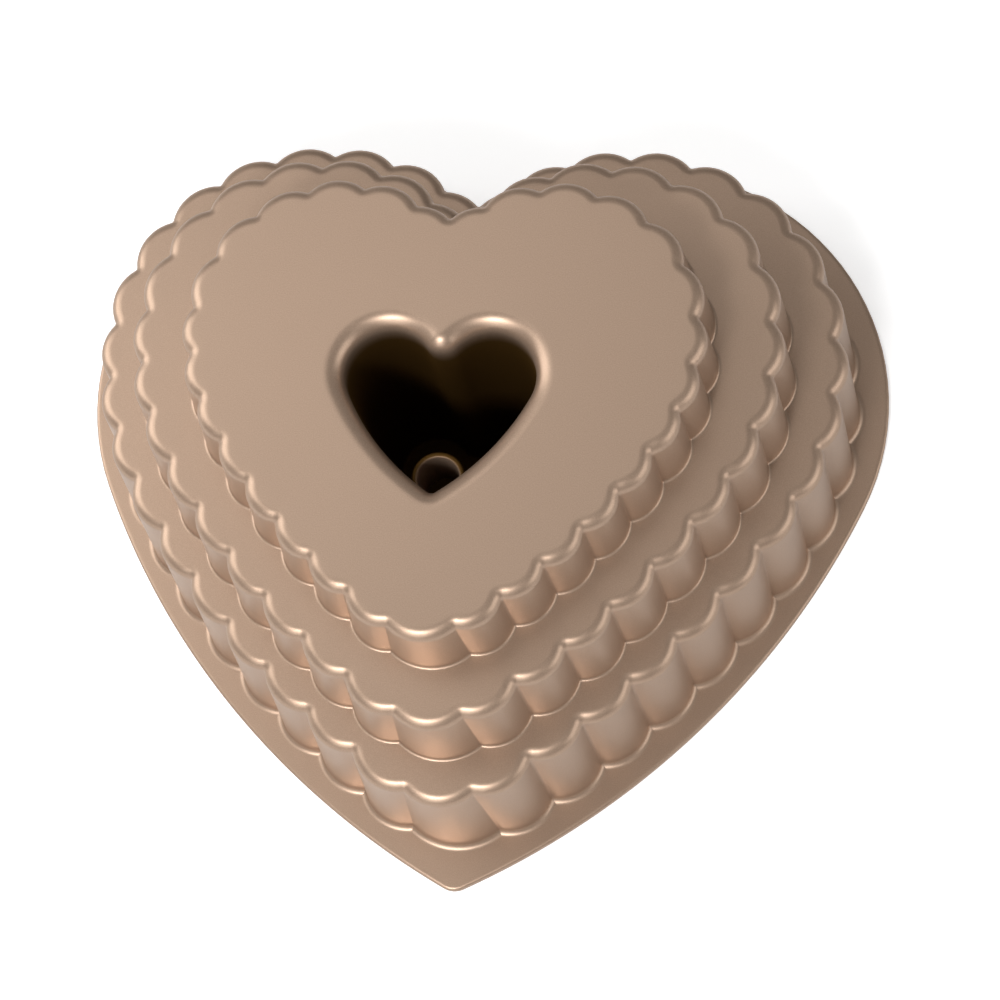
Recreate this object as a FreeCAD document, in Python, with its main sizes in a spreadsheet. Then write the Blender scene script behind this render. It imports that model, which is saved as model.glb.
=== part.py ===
import FreeCAD, Part
import Sketcher
import math
import os

# Heart fluted tube pan, one cast piece, standing upside down on its rim.
# Z is up with the rim at Z = 0, the heart's point lies toward -Y, and X = 0 is the mirror plane.
# Lengths are in millimetres and angles in degrees.

document = FreeCAD.newDocument("HeartPan")
sheet = document.addObject("Spreadsheet::Sheet", "Sizes")

sizes = {
    # Heights above the rim
    "pan_height": 112.0,
    "middle_ledge": 86.3,
    "lower_ledge": 53.4,
    "flange_thick": 3.3,
    # Casting
    "wall": 3.8,
    "draft": 6.0,
    "tier_edge": 2.4,
    "flange_edge": 1.0,
    # Flutes, counted from the point to the widest place and from there to the cleft
    "flute_arc": 88.0,
    "shoulder_start": -31.5,
    "lobe_start": 6.0,
    "upper_flank_flutes": 8,
    "upper_lobe_flutes": 6,
    "middle_flank_flutes": 9,
    "middle_lobe_flutes": 7,
    "lower_flank_flutes": 10,
    "lower_lobe_flutes": 8,
    # Upper heart, at its foot
    "upper_lobe": 46.7,
    "upper_shoulder": 59.3,
    "upper_flank": 197.4,
    "upper_lobe_y": 17.4,
    "upper_cleft": 47.4,
    "upper_point_flute": 23.6,
    # Middle heart, at its foot
    "middle_lobe": 58.0,
    "middle_shoulder": 78.6,
    "middle_flank": 242.5,
    "middle_lobe_y": 24.9,
    "middle_cleft": 42.1,
    "middle_point_flute": 25.2,
    # Lower heart, at its foot
    "lower_lobe": 72.7,
    "lower_shoulder": 91.8,
    "lower_flank": 295.2,
    "lower_lobe_y": 30.9,
    "lower_cleft": 46.7,
    "lower_point_flute": 28.2,
    # Flange outline
    "flange_lobe": 85.4,
    "flange_flank": 273.0,
    "flange_lobe_x": 50.5,
    "flange_lobe_y": 32.0,
    "flange_point_y": -135.2,
    "flange_point_round": 7.0,
    "flange_inner_lobe": 58.0,
    "flange_cleft_round": 10.0,
    # Tube opening in the flat top
    "tube_lobe": 13.7,
    "tube_flank": 76.0,
    "tube_lobe_x": 14.9,
    "tube_lobe_y": 3.2,
    "tube_point_y": -33.0,
    "tube_point_round": 2.0,
    "tube_edge": 5.5,
    "tube_edge_bands": 3,
    "tube_cleft_margin": 0.6,
    # Closed end of the tube
    "tube_end_height": 6.0,
    "tube_end_width": 51.6,
    "tube_taper_y": -4.0,
    "vent_width": 12.0,
    # Sleeve in the point of the tube
    "sleeve_y": -25.0,
    "sleeve_top": 96.5,
    "sleeve_foot": 77.5,
    "sleeve_bore": 12.6,
    "sleeve_bore_foot": 11.0,
    "sleeve_wall": 1.8,
}
for row, (name, value) in enumerate(sizes.items(), 1):
    sheet.set(f"A{row}", name)
    sheet.set(f"B{row}", str(value))
    sheet.setAlias(f"B{row}", name)
document.recompute()


def size(name):
    return float(sheet.get(name))


def size_count(name):
    return int(size(name))


# Placing

def point(x, y):
    return FreeCAD.Vector(x, y, 0)


def polar(centre, radius, angle):
    turn = math.radians(angle)
    return centre + point(radius * math.cos(turn), radius * math.sin(turn))


# The flange reaches from its point to its lobes, and the middle of that length lies on Y = 0.
middle_y = (size("flange_point_y") + size("flange_lobe_y") + size("flange_lobe")) / 2

body = document.addObject("PartDesign::Body", "pan")
body.Label = "pan"
base_plane = [item for item in body.Origin.OriginFeatures if item.Role == "XY_Plane"][0]


def outline_sketch(name, arcs, height):
    """A closed chain of arcs on a level plane, with its height tied to the sizes."""
    sketch = body.newObject("Sketcher::SketchObject", name)
    sketch.AttachmentSupport = (base_plane, [""])
    sketch.MapMode = "FlatFace"
    sketch.setExpression("AttachmentOffset.Base.z", height)
    shift = point(0, -middle_y)
    for arc in arcs:
        ordered = arc if turns_left(arc) else reversed(arc)
        sketch.addGeometry(Part.Arc(*[spot + shift for spot in ordered]), False)
    last = len(arcs) - 1
    for index in range(last + 1):
        following = 0 if index == last else index + 1
        joined = ends_that_meet(sketch.Geometry[index], sketch.Geometry[following])
        sketch.addConstraint(Sketcher.Constraint("Coincident", index, joined[0], following, joined[1]))
    document.recompute()
    return sketch


def circle_sketch(name, y, width, height):
    """A circle on the mirror plane, with its width and height tied to the sizes."""
    sketch = body.newObject("Sketcher::SketchObject", name)
    sketch.AttachmentSupport = (base_plane, [""])
    sketch.MapMode = "FlatFace"
    sketch.setExpression("AttachmentOffset.Base.z", height)
    centre = point(0, y - middle_y)
    sketch.addGeometry(Part.Circle(centre, FreeCAD.Vector(0, 0, 1), 1), False)
    sketch.addConstraint(Sketcher.Constraint("DistanceX", -1, 1, 0, 3, 0))
    sketch.addConstraint(Sketcher.Constraint("DistanceY", -1, 1, 0, 3, centre.y))
    width_constraint = sketch.addConstraint(Sketcher.Constraint("Diameter", 0, 2))
    sketch.setExpression(f"Constraints[{width_constraint}]", width)
    document.recompute()
    return sketch


def turns_left(arc):
    start, middle, end = arc
    return (middle - start).cross(end - middle).z > 0


def ends_that_meet(first, second):
    """Which ends of two neighbouring arcs lie together: 1 is a start and 2 is an end."""
    pairs = [
        (first.EndPoint.distanceToPoint(second.StartPoint), (2, 1)),
        (first.EndPoint.distanceToPoint(second.EndPoint), (2, 2)),
        (first.StartPoint.distanceToPoint(second.StartPoint), (1, 1)),
        (first.StartPoint.distanceToPoint(second.EndPoint), (1, 2)),
    ]
    return min(pairs)[1]


def mirrored(arcs):
    """The same arcs on the other side of X = 0, in the order that carries the outline on."""
    flip = [[point(-spot.x, spot.y) for spot in reversed(arc)] for arc in reversed(arcs)]
    return [tuple(arc) for arc in flip]


# Fluted outlines

def flute_corners(tier):
    """Centre, radius and angle of each corner between flutes on the right half, from point to cleft."""
    lobe = size(f"{tier}_lobe")
    shoulder = size(f"{tier}_shoulder")
    flank = size(f"{tier}_flank")
    lobe_x = lobe * math.cos(math.radians(size(f"{tier}_cleft")))
    lobe_centre = point(lobe_x, size(f"{tier}_lobe_y"))
    shoulder_centre = polar(lobe_centre, lobe - shoulder, size("lobe_start"))
    flank_centre = polar(shoulder_centre, shoulder - flank, size("shoulder_start"))
    half_point = size(f"{tier}_point_flute") / 2
    flank_start = -math.degrees(math.acos((half_point - flank_centre.x) / flank))
    flank_length = flank * math.radians(size("shoulder_start") - flank_start)
    shoulder_length = shoulder * math.radians(size("lobe_start") - size("shoulder_start"))
    flank_count = size_count(f"{tier}_flank_flutes")
    # The point flute is part of a cone, so its corners move toward its own axis.
    half_arc = size("flute_arc") / 2
    point_radius = half_point / math.sin(math.radians(half_arc))
    point_centre = polar(polar(flank_centre, flank, flank_start), point_radius, half_arc + 90)
    corners = [(point_centre, point_radius, half_arc - 90)]
    for index in range(1, flank_count + 1):
        travel = (flank_length + shoulder_length) * index / flank_count
        if travel < flank_length:
            corners.append((flank_centre, flank, flank_start + math.degrees(travel / flank)))
        else:
            along = math.degrees((travel - flank_length) / shoulder)
            corners.append((shoulder_centre, shoulder, size("shoulder_start") + along))
    # The last flute before the cleft is whole only on the innermost outline.
    innermost = lobe - tier_lean(tier) - size("wall")
    cleft_angle = 180 - math.degrees(math.acos(lobe_x / innermost))
    lobe_count = size_count(f"{tier}_lobe_flutes")
    step = (cleft_angle - size("lobe_start")) / lobe_count
    for index in range(1, lobe_count + 1):
        corners.append((lobe_centre, lobe, size("lobe_start") + step * index))
    return corners


def tier_lean(tier):
    """How far a tier's wall leans in from its foot to its top."""
    rises = {
        "upper": size("pan_height") - size("middle_ledge"),
        "middle": size("middle_ledge") - size("lower_ledge"),
        "lower": size("lower_ledge") - size("flange_thick"),
    }
    return rises[tier] * math.tan(math.radians(size("draft")))


def bulge_arc(start, end):
    """One flute: the arc that bulges out over the chord from start to end."""
    chord = end - start
    bulge = chord.Length / 2 * math.tan(math.radians(size("flute_arc") / 4))
    outward = point(chord.y, -chord.x).normalize()
    return start, (start + end) / 2 + outward * bulge, end


def fluted_heart(tier, inset):
    """The tier's scalloped outline, every corner moved square to the heart by the inset."""
    corners = flute_corners(tier)
    spots = [polar(centre, radius - inset, angle) for centre, radius, angle in corners[:-2]]
    # The flute cut off at the cleft keeps its form and moves straight toward the point.
    lean = tier_lean(tier)
    cleft_corners = [polar(centre, radius - lean, angle) for centre, radius, angle in corners[-2:]]
    shift = point(0, lean - inset)
    cleft_flute = tuple(spot + shift for spot in cut_at_middle(bulge_arc(*cleft_corners)))
    spots.append(cleft_flute[0])
    half = [bulge_arc(start, end) for start, end in zip(spots, spots[1:])] + [cleft_flute]
    point_flute = bulge_arc(point(-spots[0].x, spots[0].y), spots[0])
    return [point_flute] + half + mirrored(half)


def cut_at_middle(arc):
    """The part of an arc that lies right of the mirror plane."""
    circle = Part.Arc(*arc).toShape().Curve
    start = arc[0]
    centre = circle.Center
    end_y = centre.y + math.sqrt(max(circle.Radius ** 2 - centre.x ** 2, 0))
    end = point(0, end_y)
    halfway = ((start - centre) + (end - centre)).normalize() * circle.Radius
    return start, centre + halfway, end


# Smooth outlines

LOBE_TOP = 90


def meeting_centre(first, first_reach, second, second_reach):
    """The point at two given distances from two centres, on the left of the way between them."""
    way = second - first
    gap = way.Length
    along = (first_reach ** 2 - second_reach ** 2 + gap ** 2) / (2 * gap)
    aside = math.sqrt(first_reach ** 2 - along ** 2)
    forward = way / gap
    return first + forward * along + point(-forward.y, forward.x) * aside


def smooth_heart(name, cleft_round, wall=0, scale=1, inner_lobe=None):
    """A heart of tangent arcs: point, flank, lobe and cleft, grown by a wall and scaled about its taper.

    A tighter inner lobe, where one is given, takes over at the lobe's highest place.
    """
    lobe = size(f"{name}_lobe")
    flank = size(f"{name}_flank")
    tip_round = size(f"{name}_point_round")
    lobe_centre = point(size(f"{name}_lobe_x"), size(f"{name}_lobe_y"))
    tip_centre = point(0, size(f"{name}_point_y") + tip_round)
    flank_centre = meeting_centre(lobe_centre, flank - lobe, tip_centre, flank - tip_round)
    if flank_centre.x > 0:
        flank_centre = meeting_centre(tip_centre, flank - tip_round, lobe_centre, flank - lobe)
    lobe += wall
    flank += wall
    tip_round += wall
    cleft_round -= wall
    last_centre = lobe_centre
    last_radius = lobe
    if inner_lobe:
        last_radius = inner_lobe + wall
        last_centre = polar(lobe_centre, lobe - last_radius, LOBE_TOP)
    cleft_y = last_centre.y + math.sqrt((last_radius + cleft_round) ** 2 - last_centre.x ** 2)
    cleft_centre = point(0, cleft_y)
    tip_turn = direction(flank_centre, tip_centre)
    lobe_turn = direction(flank_centre, lobe_centre)
    cleft_turn = direction(last_centre, cleft_centre)
    flank_turn = (tip_turn + lobe_turn) / 2
    half = [
        turn_arc(flank_centre, flank, tip_turn, flank_turn),
        turn_arc(flank_centre, flank, flank_turn, lobe_turn),
        turn_arc(lobe_centre, lobe, lobe_turn, LOBE_TOP if inner_lobe else cleft_turn),
    ]
    if inner_lobe:
        half.append(turn_arc(last_centre, last_radius, LOBE_TOP, cleft_turn))
    tip_arc = turn_arc(tip_centre, tip_round, -180 - tip_turn, tip_turn)
    cleft_arc = turn_arc(cleft_centre, cleft_round, cleft_turn - 180, -cleft_turn)
    arcs = [tip_arc] + half + [cleft_arc] + mirrored(half)
    taper = point(0, size("tube_taper_y"))
    return [tuple(taper + (spot - taper) * scale for spot in arc) for arc in arcs]


def direction(start, end):
    return math.degrees(math.atan2(end.y - start.y, end.x - start.x))


def turn_arc(centre, radius, start_angle, end_angle):
    angles = (start_angle, (start_angle + end_angle) / 2, end_angle)
    return tuple(polar(centre, radius, angle) for angle in angles)


# Features

def loft(kind, name, *outlines):
    """Straight walls from each outline to the next, from the lowest to the highest."""
    feature = body.newObject(f"PartDesign::{kind}Loft", name)
    feature.Profile = outlines[0]
    feature.Sections = list(outlines[1:])
    feature.Ruled = True
    for outline in outlines:
        outline.Visibility = False
    document.recompute()
    return feature


def level_edges(feature, height):
    """Names of the edges that lie wholly at one height."""
    names = []
    for number, edge in enumerate(feature.Shape.Edges, 1):
        box = edge.BoundBox
        if abs(box.ZMin - height) < 0.001 and abs(box.ZMax - height) < 0.001:
            names.append(f"Edge{number}")
    return names


# Flange
flange_heart = smooth_heart("flange", size("flange_cleft_round"), inner_lobe=size("flange_inner_lobe"))
flange_outline = outline_sketch("flange_outline", flange_heart, "0 mm")
flange = body.newObject("PartDesign::Pad", "flange")
flange.Profile = flange_outline
flange.setExpression("Length", "Sizes.flange_thick")
document.recompute()
flange_bevel = body.newObject("PartDesign::Chamfer", "flange_bevel")
flange_bevel.Base = (flange, level_edges(flange, size("flange_thick")))
flange_bevel.setExpression("Size", "Sizes.flange_edge")
document.recompute()

# Tiers
levels = {
    "lower": ("flange_thick", "lower_ledge"),
    "middle": ("lower_ledge", "middle_ledge"),
    "upper": ("middle_ledge", "pan_height"),
}
for tier, (foot, top) in levels.items():
    edge = size("tier_edge")
    lean = tier_lean(tier)
    brow_lean = lean - edge * math.tan(math.radians(size("draft")))
    foot_outline = outline_sketch(f"{tier}_foot", fluted_heart(tier, 0), f"Sizes.{foot}")
    brow_outline = outline_sketch(f"{tier}_brow", fluted_heart(tier, brow_lean), f"Sizes.{top} - Sizes.tier_edge")
    top_outline = outline_sketch(f"{tier}_top", fluted_heart(tier, lean + edge), f"Sizes.{top}")
    loft("Additive", f"{tier}_tier", foot_outline, brow_outline, top_outline)

# Cavity
for tier, (foot, top) in levels.items():
    inside_foot = fluted_heart(tier, size("wall"))
    inside_top = fluted_heart(tier, tier_lean(tier) + size("wall"))
    foot_outline = outline_sketch(f"{tier}_inside_foot", inside_foot, f"Sizes.{foot} - Sizes.wall")
    top_outline = outline_sketch(f"{tier}_inside_top", inside_top, f"Sizes.{top} - Sizes.wall")
    loft("Subtractive", f"{tier}_cavity", foot_outline, top_outline)

# Tube
wall = size("wall")
tube_width = 2 * (size("tube_lobe_x") + size("tube_lobe"))
recess_scale = size("tube_end_width") / tube_width
tube_scale = (size("tube_end_width") + 2 * wall) / (tube_width + 2 * wall)
cleft_round = max(size("tube_edge"), wall) + size("tube_cleft_margin")
tube_foot = smooth_heart("tube", cleft_round, wall, tube_scale)
tube_foot_outline = outline_sketch("tube_foot", tube_foot, "Sizes.tube_end_height")
tube_top = smooth_heart("tube", cleft_round, wall)
tube_top_outline = outline_sketch("tube_top", tube_top, "Sizes.pan_height - Sizes.wall / 2")
loft("Additive", "tube", tube_foot_outline, tube_top_outline)
recess_floor = "Sizes.tube_end_height + Sizes.wall"
recess_foot = smooth_heart("tube", cleft_round, 0, recess_scale)
recess_foot_outline = outline_sketch("recess_foot", recess_foot, recess_floor)
roll_outlines = []
for step in range(size_count("tube_edge_bands") + 1):
    turn = 90 * step / size_count("tube_edge_bands")
    spread = size("tube_edge") * (1 - math.cos(math.radians(turn)))
    roll_height = f"Sizes.pan_height - Sizes.tube_edge * (1 - sin({turn} deg))"
    rolled = smooth_heart("tube", cleft_round, spread)
    roll_outlines.append(outline_sketch(f"tube_roll_{step}", rolled, roll_height))
loft("Subtractive", "recess", recess_foot_outline, *roll_outlines)

# Vent in the closed end
vent_outline = circle_sketch("vent_outline", size("tube_taper_y"), "Sizes.vent_width", recess_floor)
vent = body.newObject("PartDesign::Pocket", "vent")
vent.Profile = vent_outline
vent.setExpression("Length", "Sizes.wall")
vent_outline.Visibility = False
document.recompute()

# Sleeve in the point of the tube
sleeve_width = "Sizes.sleeve_bore + 2 * Sizes.sleeve_wall"
sleeve_outline = circle_sketch("sleeve_outline", size("sleeve_y"), sleeve_width, "Sizes.sleeve_foot")
sleeve = body.newObject("PartDesign::Pad", "sleeve")
sleeve.Profile = sleeve_outline
sleeve.setExpression("Length", "Sizes.sleeve_top - Sizes.sleeve_foot")
sleeve_outline.Visibility = False
document.recompute()
bore_foot = circle_sketch("bore_foot", size("sleeve_y"), "Sizes.sleeve_bore_foot", "Sizes.sleeve_foot")
bore_top = circle_sketch("bore_top", size("sleeve_y"), "Sizes.sleeve_bore", "Sizes.sleeve_top")
loft("Subtractive", "sleeve_hole", bore_foot, bore_top)

document.recompute()
for item in document.Objects:
    if "Invalid" in item.State or "Error" in item.State:
        raise RuntimeError(f"{item.Name} did not build")
shape = body.Shape
if shape.isNull() or not shape.isValid():
    raise RuntimeError("the pan is not a sound solid")
os.makedirs("parts", exist_ok=True)
shape.exportStep("parts/pan.step")
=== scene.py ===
import math

import bmesh
import bpy
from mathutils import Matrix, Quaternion, Vector


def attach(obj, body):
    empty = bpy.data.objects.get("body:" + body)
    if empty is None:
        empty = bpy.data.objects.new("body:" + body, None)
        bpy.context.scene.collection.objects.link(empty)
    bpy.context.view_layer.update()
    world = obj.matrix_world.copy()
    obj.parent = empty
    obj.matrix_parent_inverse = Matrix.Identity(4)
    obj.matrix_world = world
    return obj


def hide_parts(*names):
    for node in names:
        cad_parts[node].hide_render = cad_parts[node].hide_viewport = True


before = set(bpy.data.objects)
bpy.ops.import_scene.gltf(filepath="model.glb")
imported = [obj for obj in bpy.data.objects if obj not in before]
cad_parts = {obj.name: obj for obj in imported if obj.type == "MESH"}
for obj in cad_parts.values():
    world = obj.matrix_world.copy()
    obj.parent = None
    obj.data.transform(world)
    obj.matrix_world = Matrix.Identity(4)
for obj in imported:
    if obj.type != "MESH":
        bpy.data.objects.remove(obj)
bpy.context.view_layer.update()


# The three fluted tiers
# Each tier is a heart of scalloped walls that lean in by the mould's draft. They are cast in one with
# everything else, so the metal is rounded over at each top edge and sweeps out a little at each foot.

# Sizes are in millimetres, and MM turns them into the frame's metres.
MM = 0.001
PAN_HEIGHT = 112.0
MIDDLE_LEDGE = 86.3
LOWER_LEDGE = 53.4
FLANGE_THICK = 3.3
WALL = 3.8
DRAFT = math.radians(6)
FLUTE_ARC = math.radians(88)
SHOULDER_START = math.radians(-31.5)
LOBE_START = math.radians(6)
CREASE = 0.9
SHARPEST_CREASE = 0.25
EDGE_ROUND = 3.8
CEILING_ROUND = 1.6
# Half way from the flange's point to its lobes, where the frame has its origin.
MIDDLE_Y = -8.9
# How far a flat or a wall goes on past a rounding before the next ring, so that both shade evenly.
FLAT_MARGIN = 0.4
WIDE_MARGIN = 0.5
WALL_MARGIN = 0.8
# In how many straight pieces each arc is drawn.
FLUTE_STEPS = 12
CREASE_STEPS = 5
FOOT_STEPS = 5
EDGE_STEPS = 8
CEILING_STEPS = 5


class Tier:
    """One scalloped heart, in millimetres: its levels, its three arcs and its flutes."""

    def __init__(self, foot, top, lobe, shoulder, flank, lobe_y, cleft, point_flute, flutes, foot_round):
        self.foot = foot
        self.top = top
        self.foot_round = foot_round
        self.lean = (top - foot) * math.tan(DRAFT)
        cleft_x = lobe * math.cos(math.radians(cleft))
        lobe_centre = Vector((cleft_x, lobe_y))
        shoulder_centre = spot(lobe_centre, lobe - shoulder, LOBE_START)
        flank_centre = spot(shoulder_centre, shoulder - flank, SHOULDER_START)
        flank_start = -math.acos((point_flute / 2 - flank_centre.x) / flank)
        flank_length = flank * (SHOULDER_START - flank_start)
        shoulder_length = shoulder * (LOBE_START - SHOULDER_START)
        point_radius = point_flute / 2 / math.sin(FLUTE_ARC / 2)
        first = spot(flank_centre, flank, flank_start)
        point_centre = spot(first, point_radius, FLUTE_ARC / 2 + math.pi / 2)
        self.corners = [(point_centre, point_radius, FLUTE_ARC / 2 - math.pi / 2)]
        on_flank, on_lobe = flutes
        for number in range(1, on_flank + 1):
            travel = (flank_length + shoulder_length) * number / on_flank
            if travel < flank_length:
                self.corners.append((flank_centre, flank, flank_start + travel / flank))
            else:
                turn = SHOULDER_START + (travel - flank_length) / shoulder
                self.corners.append((shoulder_centre, shoulder, turn))
        innermost = lobe - self.lean - WALL
        step = (math.pi - math.acos(cleft_x / innermost) - LOBE_START) / on_lobe
        for number in range(1, on_lobe + 1):
            self.corners.append((lobe_centre, lobe, LOBE_START + step * number))

    def circles(self, inset):
        """Centre and radius of every flute, from the point round by the right side and back."""
        ends = [spot(centre, radius - inset, turn) for centre, radius, turn in self.corners[:-2]]
        for centre, radius, turn in self.corners[-2:]:
            ends.append(spot(centre, radius - self.lean, turn) + Vector((0, self.lean - inset)))
        right = [flute_circle(start, end) for start, end in zip(ends, ends[1:])]
        left = [(Vector((-centre.x, centre.y)), radius) for centre, radius in reversed(right)]
        first = flute_circle(Vector((-ends[0].x, ends[0].y)), ends[0])
        return [first] + right + left

    def ring(self, height, inset, grow=0):
        """The outline as a closed ring of points at a height, moved outward by grow."""
        circles = [(centre, radius + grow) for centre, radius in self.circles(inset)]
        crease = max(CREASE - grow, SHARPEST_CREASE)
        following = circles[1:] + circles[:1]
        creases = [crease_centre(one, two, crease) for one, two in zip(circles, following)]
        points = []
        for number, (centre, radius) in enumerate(circles):
            before = creases[number - 1] - centre
            after = creases[number] - centre
            points += arc_points(centre, radius, before, after, FLUTE_STEPS)
            around = creases[number]
            onward = following[number][0] - around
            points += arc_points(around, crease, centre - around, onward, CREASE_STEPS)
        return raised(points, height)


def spot(centre, radius, turn):
    """The point at a radius and a turn from a centre."""
    return centre + Vector((math.cos(turn), math.sin(turn))) * radius


def flute_circle(start, end):
    """The circle whose arc bulges out over the chord from start to end."""
    chord = end - start
    radius = chord.length / 2 / math.sin(FLUTE_ARC / 2)
    outward = Vector((chord.y, -chord.x)).normalized()
    return (start + end) / 2 - outward * radius * math.cos(FLUTE_ARC / 2), radius


def crossings(one, reach_one, two, reach_two):
    """The two points at given distances from two centres, first the one to the right of the way between."""
    way = two - one
    along = (reach_one ** 2 - reach_two ** 2 + way.length_squared) / (2 * way.length)
    aside = math.sqrt(max(reach_one ** 2 - along ** 2, 0))
    forward = way.normalized()
    rightward = Vector((forward.y, -forward.x))
    return [one + forward * along + rightward * side for side in (aside, -aside)]


def crease_centre(one, two, crease):
    """Centre of the small arc that rounds the crease between two flutes, outside the metal."""
    return crossings(one[0], one[1] + crease, two[0], two[1] + crease)[0]


def turns(start, end, steps):
    """Angles from start to end in equal steps, with both ends."""
    return [start + (end - start) * number / steps for number in range(steps + 1)]


def arc_points(centre, radius, start, end, steps):
    """Points from one direction to another the short way round, without the last."""
    begin = math.atan2(start.y, start.x)
    sweep = math.remainder(math.atan2(end.y, end.x) - begin, math.tau)
    return [spot(centre, radius, turn) for turn in turns(begin, begin + sweep, steps)[:-1]]


def raised(points, height):
    """Flat points in millimetres put in the frame at a height."""
    return [Vector((point.x, point.y - MIDDLE_Y, height)) * MM for point in points]


def band(name, rings, shades=None):
    """Rings of points joined upward: a circle shaped to the first ring, then extruded ring by ring.

    Shades give each ring its share of painted shade, the darkening that the finish section mixes into the
    coat.
    """
    bpy.ops.object.select_all(action="DESELECT")
    bpy.ops.mesh.primitive_circle_add(vertices=len(rings[0]), radius=0.1)
    piece = bpy.context.object
    piece.name = name
    bpy.ops.object.mode_set(mode="EDIT")
    for number, ring in enumerate(rings):
        if number:
            bpy.ops.mesh.extrude_edges_move()
        mesh = bmesh.from_edit_mesh(piece.data)
        edge = [vertex for vertex in mesh.verts if vertex.select]
        for vertex, place in zip(edge, ring):
            vertex.co = place
        bmesh.update_edit_mesh(piece.data)
    bpy.ops.object.mode_set(mode="OBJECT")
    if shades:
        shade = piece.data.attributes.new("shade", "FLOAT", "POINT")
        shade.data.foreach_set("value", [value for value in shades for place in rings[0]])
    return piece


def outer_rings(tier):
    """From the ledge below a tier, up its wall and over its rounded edge to the flat above."""
    slope = math.tan(DRAFT)
    foot = tier.foot_round
    foot_centre = foot * (1 - math.sin(DRAFT)) / math.cos(DRAFT)
    rings = [tier.ring(tier.foot, 0, foot_centre + FLAT_MARGIN)]
    for turn in turns(0, math.pi / 2 - DRAFT, FOOT_STEPS):
        rise = foot * (1 - math.cos(turn))
        out = foot_centre - foot * math.sin(turn)
        rings.append(tier.ring(tier.foot + rise, rise * slope, out + rise * slope))
    brow = tier.top - EDGE_ROUND * (1 - math.sin(DRAFT))
    for height in (tier.foot + foot + WALL_MARGIN, (tier.foot + brow) / 2, brow - WALL_MARGIN):
        rings.append(tier.ring(height, (height - tier.foot) * slope))
    centre = -EDGE_ROUND / math.cos(DRAFT) - (tier.top - EDGE_ROUND - tier.foot) * slope
    for turn in turns(DRAFT, math.pi / 2, EDGE_STEPS):
        height = tier.top - EDGE_ROUND * (1 - math.sin(turn))
        inset = (height - tier.foot) * slope
        rings.append(tier.ring(height, inset, centre + EDGE_ROUND * math.cos(turn) + inset))
    rings.append(tier.ring(tier.top, tier.lean, centre + tier.lean - WIDE_MARGIN))
    return rings


def inner_rings(tier):
    """The hollow side of a tier, from a wall below the level of its foot up to its flat ceiling."""
    slope = math.tan(DRAFT)
    foot = max(tier.foot - WALL, 0)
    step = WALL_MARGIN + FLAT_MARGIN
    rings = [tier.ring(foot, WALL), tier.ring(foot + step, WALL + step * slope)]
    ceiling = tier.top - WALL
    lean = (ceiling - tier.foot + WALL) * slope
    below = CEILING_ROUND + 2
    rings.append(tier.ring(ceiling - below, WALL + lean - below * slope))
    for turn in turns(0, math.pi / 2, CEILING_STEPS):
        height = ceiling - CEILING_ROUND * (1 - math.sin(turn))
        in_by = CEILING_ROUND * (1 - math.cos(turn))
        rings.append(tier.ring(height, WALL + lean - (ceiling - height) * slope, -in_by))
    rings.append(tier.ring(ceiling, WALL + lean, -CEILING_ROUND - FLAT_MARGIN))
    return rings


lower = Tier(
    foot=FLANGE_THICK,
    top=LOWER_LEDGE,
    lobe=72.7,
    shoulder=91.8,
    flank=295.2,
    lobe_y=30.9,
    cleft=46.7,
    point_flute=28.2,
    flutes=(10, 8),
    foot_round=2.2,
)
middle = Tier(
    foot=LOWER_LEDGE,
    top=MIDDLE_LEDGE,
    lobe=58.0,
    shoulder=78.6,
    flank=242.5,
    lobe_y=24.9,
    cleft=42.1,
    point_flute=25.2,
    flutes=(9, 7),
    foot_round=1.0,
)
upper = Tier(
    foot=MIDDLE_LEDGE,
    top=PAN_HEIGHT,
    lobe=46.7,
    shoulder=59.3,
    flank=197.4,
    lobe_y=17.4,
    cleft=47.4,
    point_flute=23.6,
    flutes=(8, 6),
    foot_round=1.0,
)
bands = []
for tier in (lower, middle, upper):
    bands.append(band("tier", outer_rings(tier)))
    bands.append(band("tier_inside", inner_rings(tier)))


# Flange
# The flat rim that the pan stands on, a plain heart of 3.3 mm metal with its edges eased. It is cast
# round the foot of the lower tier and runs in to the cleft on a wider arc than the lobe's.

FLANGE_EDGE = 1.0
FLANGE_UNDER_EDGE = 0.5
FLANGE_UNDER_MARGIN = 0.7
FLANGE_STEPS = 5
EASE_STEPS = 4
# Where the upright line stands toward which the tube narrows on its way down.
TAPER_Y = -4.0


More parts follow.
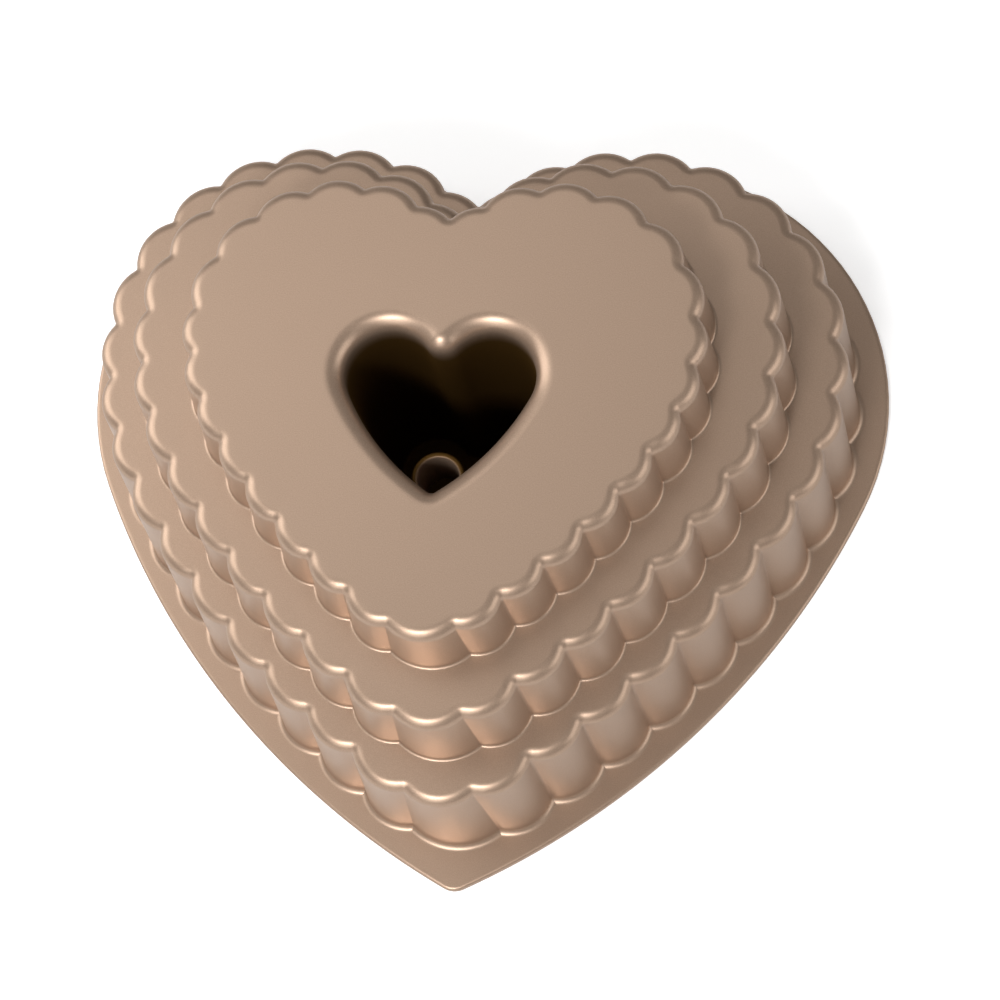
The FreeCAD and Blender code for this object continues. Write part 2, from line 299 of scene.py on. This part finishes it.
class SmoothHeart:
    """A heart of tangent arcs for point, flank, lobe, inner lobe and cleft, in millimetres."""

    def __init__(self, lobe, inner_lobe, flank, lobe_x, lobe_y, point_y, point_round, cleft_round, steps):
        lobe_centre = Vector((lobe_x, lobe_y))
        point_centre = Vector((0, point_y + point_round))
        both = crossings(lobe_centre, flank - lobe, point_centre, flank - point_round)
        flank_centre = min(both, key=lambda place: place.x)
        inner_centre = Vector((lobe_x, lobe_y + lobe - inner_lobe))
        cleft_y = inner_centre.y + math.sqrt((inner_lobe + cleft_round) ** 2 - lobe_x ** 2)
        cleft_centre = Vector((0, cleft_y))
        point_turn = turn_of(point_centre - flank_centre)
        lobe_turn = turn_of(lobe_centre - flank_centre)
        cleft_turn = turn_of(cleft_centre - inner_centre)
        at_point, on_flank, on_lobe, in_cleft = steps
        # Each arc with its centre, its radius, which way growing moves it, its turns and its steps.
        self.arcs = [
            (point_centre, point_round, 1, -math.pi / 2, point_turn, at_point),
            (flank_centre, flank, 1, point_turn, lobe_turn, on_flank),
            (lobe_centre, lobe, 1, lobe_turn, math.pi / 2, on_lobe),
            (inner_centre, inner_lobe, 1, math.pi / 2, cleft_turn, on_lobe),
            (cleft_centre, cleft_round, -1, cleft_turn - math.pi, -math.pi / 2, in_cleft),
        ]
        self.cleft = Vector((0, cleft_y - cleft_round))

    def ring(self, height, grow=0, scale=1):
        """The outline as a ring of points, moved outward by grow, then scaled about the taper's line."""
        half = []
        for centre, radius, side, start, end, steps in self.arcs:
            sweep = math.remainder(end - start, math.tau)
            stops = turns(start, start + sweep, steps)[:-1]
            half += [spot(centre, radius + grow * side, turn) for turn in stops]
        middle = self.cleft + Vector((0, grow))
        left = [Vector((-point.x, point.y)) for point in reversed(half[1:])]
        taper_line = Vector((0, TAPER_Y))
        whole = half + [middle] + left
        return raised([taper_line + (point - taper_line) * scale for point in whole], height)


def turn_of(way):
    """The angle of a direction."""
    return math.atan2(way.y, way.x)


flange = SmoothHeart(
    lobe=85.4,
    inner_lobe=58.0,
    flank=273.0,
    lobe_x=50.5,
    lobe_y=32.0,
    point_y=-135.2,
    point_round=7.0,
    cleft_round=10.0,
    steps=(10, 60, 30, 10),
)
flange_rings = [flange.ring(0, -FLANGE_UNDER_EDGE - FLANGE_UNDER_MARGIN)]
for turn in turns(0, math.pi / 2, EASE_STEPS):
    height = FLANGE_UNDER_EDGE * (1 - math.cos(turn))
    flange_rings.append(flange.ring(height, -FLANGE_UNDER_EDGE * (1 - math.sin(turn))))
for turn in turns(0, math.pi / 2, FLANGE_STEPS):
    height = FLANGE_THICK - FLANGE_EDGE * (1 - math.sin(turn))
    flange_rings.append(flange.ring(height, -FLANGE_EDGE * (1 - math.cos(turn))))
flange_rings.append(flange.ring(FLANGE_THICK, -FLANGE_EDGE - WIDE_MARGIN))
bands.append(band("flange", flange_rings))


# Tube
# The heart-shaped funnel in the middle. Its mouth rolls over into the flat top, and its far end is
# closed but for a round vent. Its wall carries painted shade, dark from a little below the roll down,
# where daylight fades out of it.

MOUTH_ROLL = 5.5
MOUTH_STEPS = 12
TUBE_END = 6.0
END_WIDTH = 51.6
VENT = 12.0
VENT_EASE = 0.4
VENT_STEPS = 48
FLOOR_ROUND = 1.5
END_ROUND = 1.0
TUBE_CEILING_ROUND = 1.5
# Where the recess's painted shade begins and where it is full, and the extra rings that let it change
# smoothly.
SHADE_TOP = 109.0
SHADE_FOOT = 100.0
SHADED_DEPTH = 12
SHADED_STEP = 2
TUBE_LOBE = 13.7
TUBE_LOBE_X = 14.9
tube = SmoothHeart(
    lobe=TUBE_LOBE,
    inner_lobe=TUBE_LOBE,
    flank=76.0,
    lobe_x=TUBE_LOBE_X,
    lobe_y=3.2,
    point_y=-33.0,
    point_round=2.0,
    cleft_round=6.1,
    steps=(8, 26, 20, 12),
)
mouth_width = 2 * (TUBE_LOBE + TUBE_LOBE_X)
recess_scale = END_WIDTH / mouth_width
tube_scale = (END_WIDTH + 2 * WALL) / (mouth_width + 2 * WALL)
mouth = PAN_HEIGHT - MOUTH_ROLL
floor_level = TUBE_END + WALL
ceiling = PAN_HEIGHT - WALL


def taper(height):
    """How wide the recess is at a height, as a share of its mouth."""
    return recess_scale + (1 - recess_scale) * (height - floor_level) / (mouth - floor_level)


def painted_recess_shade(height):
    """How much painted shade the recess gets at a height: none on the roll, and full a little way down the
    wall.
    """
    share = min(max((SHADE_TOP - height) / (SHADE_TOP - SHADE_FOOT), 0), 1)
    return share * share * (3 - 2 * share)


recess_rings = [tube.ring(floor_level, -FLOOR_ROUND - FLAT_MARGIN, recess_scale)]
recess_heights = [floor_level]
for turn in turns(0, math.pi / 2, EASE_STEPS):
    height = floor_level + FLOOR_ROUND * (1 - math.cos(turn))
    recess_rings.append(tube.ring(height, -FLOOR_ROUND * (1 - math.sin(turn)), taper(height)))
    recess_heights.append(height)
for drop in range(SHADED_DEPTH, 0, -SHADED_STEP):
    recess_rings.append(tube.ring(mouth - drop, 0, taper(mouth - drop)))
    recess_heights.append(mouth - drop)
for turn in turns(0, math.pi / 2, MOUTH_STEPS):
    height = PAN_HEIGHT - MOUTH_ROLL * (1 - math.sin(turn))
    recess_rings.append(tube.ring(height, MOUTH_ROLL * (1 - math.cos(turn))))
    recess_heights.append(height)
recess_rings.append(tube.ring(PAN_HEIGHT, MOUTH_ROLL + WIDE_MARGIN))
recess_heights.append(PAN_HEIGHT)
bands.append(band("recess", recess_rings, [painted_recess_shade(height) for height in recess_heights]))

tube_rings = [tube.ring(TUBE_END, WALL - END_ROUND - WIDE_MARGIN, tube_scale)]
for turn in turns(0, math.pi / 2, EASE_STEPS):
    height = TUBE_END + END_ROUND * (1 - math.cos(turn))
    tube_rings.append(tube.ring(height, WALL - END_ROUND * (1 - math.sin(turn)), tube_scale))
tube_rings.append(tube.ring(ceiling - TUBE_CEILING_ROUND - WIDE_MARGIN, WALL))
for turn in turns(0, math.pi / 2, EASE_STEPS)[1:]:
    height = ceiling - TUBE_CEILING_ROUND * (1 - math.sin(turn))
    tube_rings.append(tube.ring(height, WALL + TUBE_CEILING_ROUND * (1 - math.cos(turn))))
tube_rings.append(tube.ring(ceiling, WALL + TUBE_CEILING_ROUND + FLAT_MARGIN))
bands.append(band("tube", tube_rings))


def round_ring(y, width, height, steps):
    """A circle of points of a given width, with its centre on the middle plane at y."""
    stops = turns(0, math.tau, steps)[:-1]
    return raised([spot(Vector((0, y)), width / 2, turn) for turn in stops], height)


vent_rings = [
    round_ring(TAPER_Y, VENT + 2 * VENT_EASE, TUBE_END, VENT_STEPS),
    round_ring(TAPER_Y, VENT, TUBE_END + VENT_EASE, VENT_STEPS),
    round_ring(TAPER_Y, VENT, floor_level - VENT_EASE, VENT_STEPS),
    round_ring(TAPER_Y, VENT + 2 * VENT_EASE, floor_level, VENT_STEPS),
]
# The vent's upper rings get full painted shade, like the darkened floor of the recess around them.
bands.append(band("vent", vent_rings, [0, 0, 1, 1]))

bpy.ops.object.select_all(action="DESELECT")
for piece in bands:
    piece.select_set(True)
bpy.context.view_layer.objects.active = bands[0]
bpy.ops.object.join()
pan = bpy.context.object
pan.name = "cast_pan"

# The bands' open edges meet in flats at these levels, and each flat is filled between its edges.
flats = {0.0, TUBE_END, floor_level, ceiling, PAN_HEIGHT, FLANGE_THICK}
flats |= {LOWER_LEDGE, MIDDLE_LEDGE, LOWER_LEDGE - WALL, MIDDLE_LEDGE - WALL}
bpy.ops.object.mode_set(mode="EDIT")
for flat in sorted(flats):
    bpy.ops.mesh.select_all(action="DESELECT")
    mesh = bmesh.from_edit_mesh(pan.data)
    for edge in mesh.edges:
        if edge.is_boundary and all(abs(end.co.z - flat * MM) < 1e-6 for end in edge.verts):
            edge.select_set(True)
    bmesh.update_edit_mesh(pan.data)
    bpy.ops.mesh.fill(use_beauty=True)
bpy.ops.mesh.select_all(action="SELECT")
bpy.ops.mesh.normals_make_consistent(inside=False)
bpy.ops.object.mode_set(mode="OBJECT")
bpy.ops.object.shade_smooth()


# Sleeve
# A short open sleeve that stands in the point of the tube, cast to its walls. Its bore narrows a
# little downward, and its rim is rounded.

SLEEVE_Y = -25.0
SLEEVE_FOOT = 77.5
SLEEVE_TOP = 96.5
SLEEVE_WALL = 1.8
BORE = 12.6
BORE_FOOT = 11.0
SLEEVE_STEPS = 64
SHARPEST_TURN = math.radians(50)
outside = BORE + 2 * SLEEVE_WALL
# The wall's section up the outside, over the rim and down the bore to the foot: width, height and shade.
# The shade is painted shade: it darkens the outside and the top of the rim, and leaves the bore in the
# coat's colour.
sleeve_section = (
    (outside - 0.8, SLEEVE_FOOT, 1),
    (outside, SLEEVE_FOOT + 0.4, 1),
    (outside, SLEEVE_TOP - 0.7, 1),
    (outside - 0.4, SLEEVE_TOP - 0.2, 1),
    (outside - 1.2, SLEEVE_TOP, 1),
    (BORE + 1.4, SLEEVE_TOP, 1),
    (BORE + 0.9, SLEEVE_TOP - 0.05, 0.8),
    (BORE + 0.3, SLEEVE_TOP - 0.2, 0.3),
    (BORE, SLEEVE_TOP - 0.7, 0),
    (BORE_FOOT, SLEEVE_FOOT + 0.5, 0),
    (BORE_FOOT + 0.8, SLEEVE_FOOT, 0),
    (outside - 0.8, SLEEVE_FOOT, 1),
)
sleeve_rings = [round_ring(SLEEVE_Y, width, height, SLEEVE_STEPS) for width, height, shade in sleeve_section]
sleeve = band("sleeve", sleeve_rings, [shade for width, height, shade in sleeve_section])
bpy.ops.object.mode_set(mode="EDIT")
bpy.ops.mesh.select_all(action="SELECT")
bpy.ops.mesh.remove_doubles(threshold=1e-6)
bpy.ops.mesh.normals_make_consistent(inside=False)
bpy.ops.object.mode_set(mode="OBJECT")
bpy.ops.object.shade_smooth_by_angle(angle=SHARPEST_TURN)
bpy.ops.object.select_all(action="DESELECT")
pan.select_set(True)
sleeve.select_set(True)
bpy.context.view_layer.objects.active = pan
bpy.ops.object.join()
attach(pan, "root")
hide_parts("pan")


# Finish
# A champagne coat with fine metal flake, baked on over the whole casting. It is satin, and the flake
# shows as a very fine grain. Down in the tube and on the sleeve's outside and rim the colour is painted
# shade: it turns to a dark brown that stands in for the little light that reaches there.

class Socket:
    """A node's output that Python expressions can work with."""

    def __init__(self, tree, output):
        self.tree = tree
        self.output = output

    def maths(self, operation, one, other):
        return node(self.tree, "ShaderNodeMath", {"operation": operation}, {0: one, 1: other})

    def __add__(self, other):
        return self.maths("ADD", self, other)

    def __mul__(self, other):
        return self.maths("MULTIPLY", self, other)

    def __sub__(self, other):
        return self.maths("SUBTRACT", self, other)

    def __rsub__(self, other):
        return self.maths("SUBTRACT", other, self)

    __radd__ = __add__
    __rmul__ = __mul__


def node(tree, kind, settings=None, inputs=None, output=0):
    """A new node with its settings, then its sockets' values or links. Gives one of its outputs."""
    made = tree.nodes.new(kind)
    for name, value in (settings or {}).items():
        setattr(made, name, value)
    for name, value in (inputs or {}).items():
        if isinstance(value, Socket):
            tree.links.new(value.output, made.inputs[name])
        else:
            made.inputs[name].default_value = value
    return Socket(tree, made.outputs[output]) if made.outputs else None


def blend(tree, share, one, other):
    """A colour between two others."""
    sides = {"Factor": share, "A": one, "B": other}
    return node(tree, "ShaderNodeMix", {"data_type": "RGBA"}, sides, "Result")


def noise(tree, place, scale, detail, roughness):
    """A cloudy pattern of so many features to the metre, from 0 to 1."""
    sockets = {"Vector": place, "Scale": scale, "Detail": detail, "Roughness": roughness}
    return node(tree, "ShaderNodeTexNoise", inputs=sockets)


def linear(red, green, blue):
    """A colour given in the screen's 0 to 255 steps, as the shader wants it."""
    steps = [value / 255 for value in (red, green, blue)]
    return [step / 12.92 if step <= 0.04045 else ((step + 0.055) / 1.055) ** 2.4 for step in steps] + [1]


FLAKE_DARK = linear(158, 132, 112)
FLAKE_LIGHT = linear(197, 170, 148)
CHAMPAGNE = linear(174, 147, 126)
# The dark brown that the painted shade mixes in, down in the tube and round the sleeve.
PAINTED_SHADE_BROWN = linear(96, 70, 34)
CLOUD_SHARE = 0.25
SATIN = 0.38
# How much rougher the surface gets under the painted shade.
PAINTED_SHADE_MATT = 0.3
METAL = 0.65
FLAKES = 3000.0
CLOUDS = 14.0
coat = bpy.data.materials.new("champagne_coat")
coat.use_nodes = True
tree = coat.node_tree
tree.nodes.clear()
place = node(tree, "ShaderNodeTexCoord", output="Object")
flake = noise(tree, place, FLAKES, detail=2.0, roughness=0.6)
cloud = noise(tree, place, CLOUDS, detail=3.0, roughness=0.5)
shade = node(tree, "ShaderNodeAttribute", {"attribute_name": "shade"}, output="Fac")
tone = blend(tree, flake, FLAKE_DARK, FLAKE_LIGHT)
tone = blend(tree, cloud * CLOUD_SHARE, tone, CHAMPAGNE)
# Painted shade: where the shade attribute rises, the colour goes to a dark brown, and the surface turns
# fully metallic and rougher so that it reflects little.
tone = blend(tree, shade, tone, PAINTED_SHADE_BROWN)
satin = SATIN + (flake - 0.5) * 0.10 + (cloud - 0.5) * 0.04
grain = node(tree, "ShaderNodeBump", inputs={"Strength": 0.1, "Distance": 0.1 * MM, "Height": flake})
surface = node(
    tree,
    "ShaderNodeBsdfPrincipled",
    inputs={
        "Base Color": tone,
        "Metallic": METAL + (1 - METAL) * shade,
        "Roughness": satin + PAINTED_SHADE_MATT * shade,
        "Normal": grain,
    },
)
node(tree, "ShaderNodeOutputMaterial", inputs={"Surface": surface})
pan.data.materials.clear()
pan.data.materials.append(coat)


# Floor and light
# A white floor under soft lamps: tall ones on the left and in front, a wide low one on the right, a
# dim one high at the back, and a small bright one that makes the sparks on the rounded edges.

FLOOR_WIDTH = 6.0
FLOOR_GLOW = 0.5
ROOM_LIGHT = 0.2
WHITE_PAPER = (0.8, 0.8, 0.8, 1)
LAMP_AIM = Vector((0, 0, 50)) * MM
LAMP_REACH = 1.5
bpy.ops.object.select_all(action="DESELECT")
bpy.ops.mesh.primitive_plane_add(size=FLOOR_WIDTH)
floor = bpy.context.object
floor.name = "floor"
paper = bpy.data.materials.new("white_floor")
paper.use_nodes = True
tree = paper.node_tree
tree.nodes.clear()
matt = node(tree, "ShaderNodeBsdfDiffuse", inputs={"Color": WHITE_PAPER})
seen = node(tree, "ShaderNodeLightPath", output="Is Camera Ray")
glow = node(tree, "ShaderNodeEmission", inputs={"Strength": seen * FLOOR_GLOW})
paper_surface = node(tree, "ShaderNodeAddShader", inputs={0: matt, 1: glow})
node(tree, "ShaderNodeOutputMaterial", inputs={"Surface": paper_surface})
floor.data.materials.append(paper)

world = bpy.data.worlds.new("studio")
bpy.context.scene.world = world
world.use_nodes = True
tree = world.node_tree
tree.nodes.clear()
air = node(tree, "ShaderNodeBackground", inputs={"Color": (1, 1, 1, 1), "Strength": ROOM_LIGHT})
node(tree, "ShaderNodeOutputWorld", inputs={"Surface": air})


def softbox(name, turn, rise, width, depth, power):
    """A lamp aimed at the pan, turned about it from its point and raised over the floor by two angles."""
    lamp = bpy.data.lights.new(name, "AREA")
    lamp.shape = "RECTANGLE"
    lamp.size = width
    lamp.size_y = depth
    lamp.energy = power
    placed = bpy.data.objects.new(name, lamp)
    bpy.context.collection.objects.link(placed)
    turn = math.radians(turn)
    rise = math.radians(rise)
    way = Vector((math.sin(turn) * math.cos(rise), -math.cos(turn) * math.cos(rise), math.sin(rise)))
    placed.location = LAMP_AIM + way * LAMP_REACH
    placed.rotation_euler = way.to_track_quat("Z", "Y").to_euler()


softbox("left", turn=255, rise=33, width=0.9, depth=1.5, power=13)
softbox("front", turn=345, rise=36, width=0.8, depth=1.2, power=7)
softbox("key", turn=343, rise=54, width=0.3, depth=0.3, power=9.5)
softbox("right", turn=80, rise=22, width=1.2, depth=1.0, power=6.5)
softbox("back", turn=208, rise=66, width=0.8, depth=0.6, power=1.6)


# Camera
# It looks steeply down on the pan from the right of its point, and is rolled a little.

AZIMUTH = math.radians(23.38)
ELEVATION = math.radians(72.54)
ROLL = math.radians(20.71)
AIM = Vector((6.6, 6.0, -1.7)) * MM
DISTANCE = 786.6 * MM
lens = bpy.data.cameras.new("camera")
lens.lens = 83.7
lens.sensor_width = 36
camera = bpy.data.objects.new("camera", lens)
bpy.context.collection.objects.link(camera)
camera.rotation_mode = "QUATERNION"
camera.rotation_quaternion = (
    Quaternion((0, 0, 1), AZIMUTH)
    @ Quaternion((1, 0, 0), math.pi / 2 - ELEVATION)
    @ Quaternion((0, 0, 1), -ROLL)
)
camera.location = AIM + camera.rotation_quaternion @ Vector((0, 0, DISTANCE))
bpy.context.scene.camera = camera
bpy.context.scene.view_settings.view_transform = "Standard"
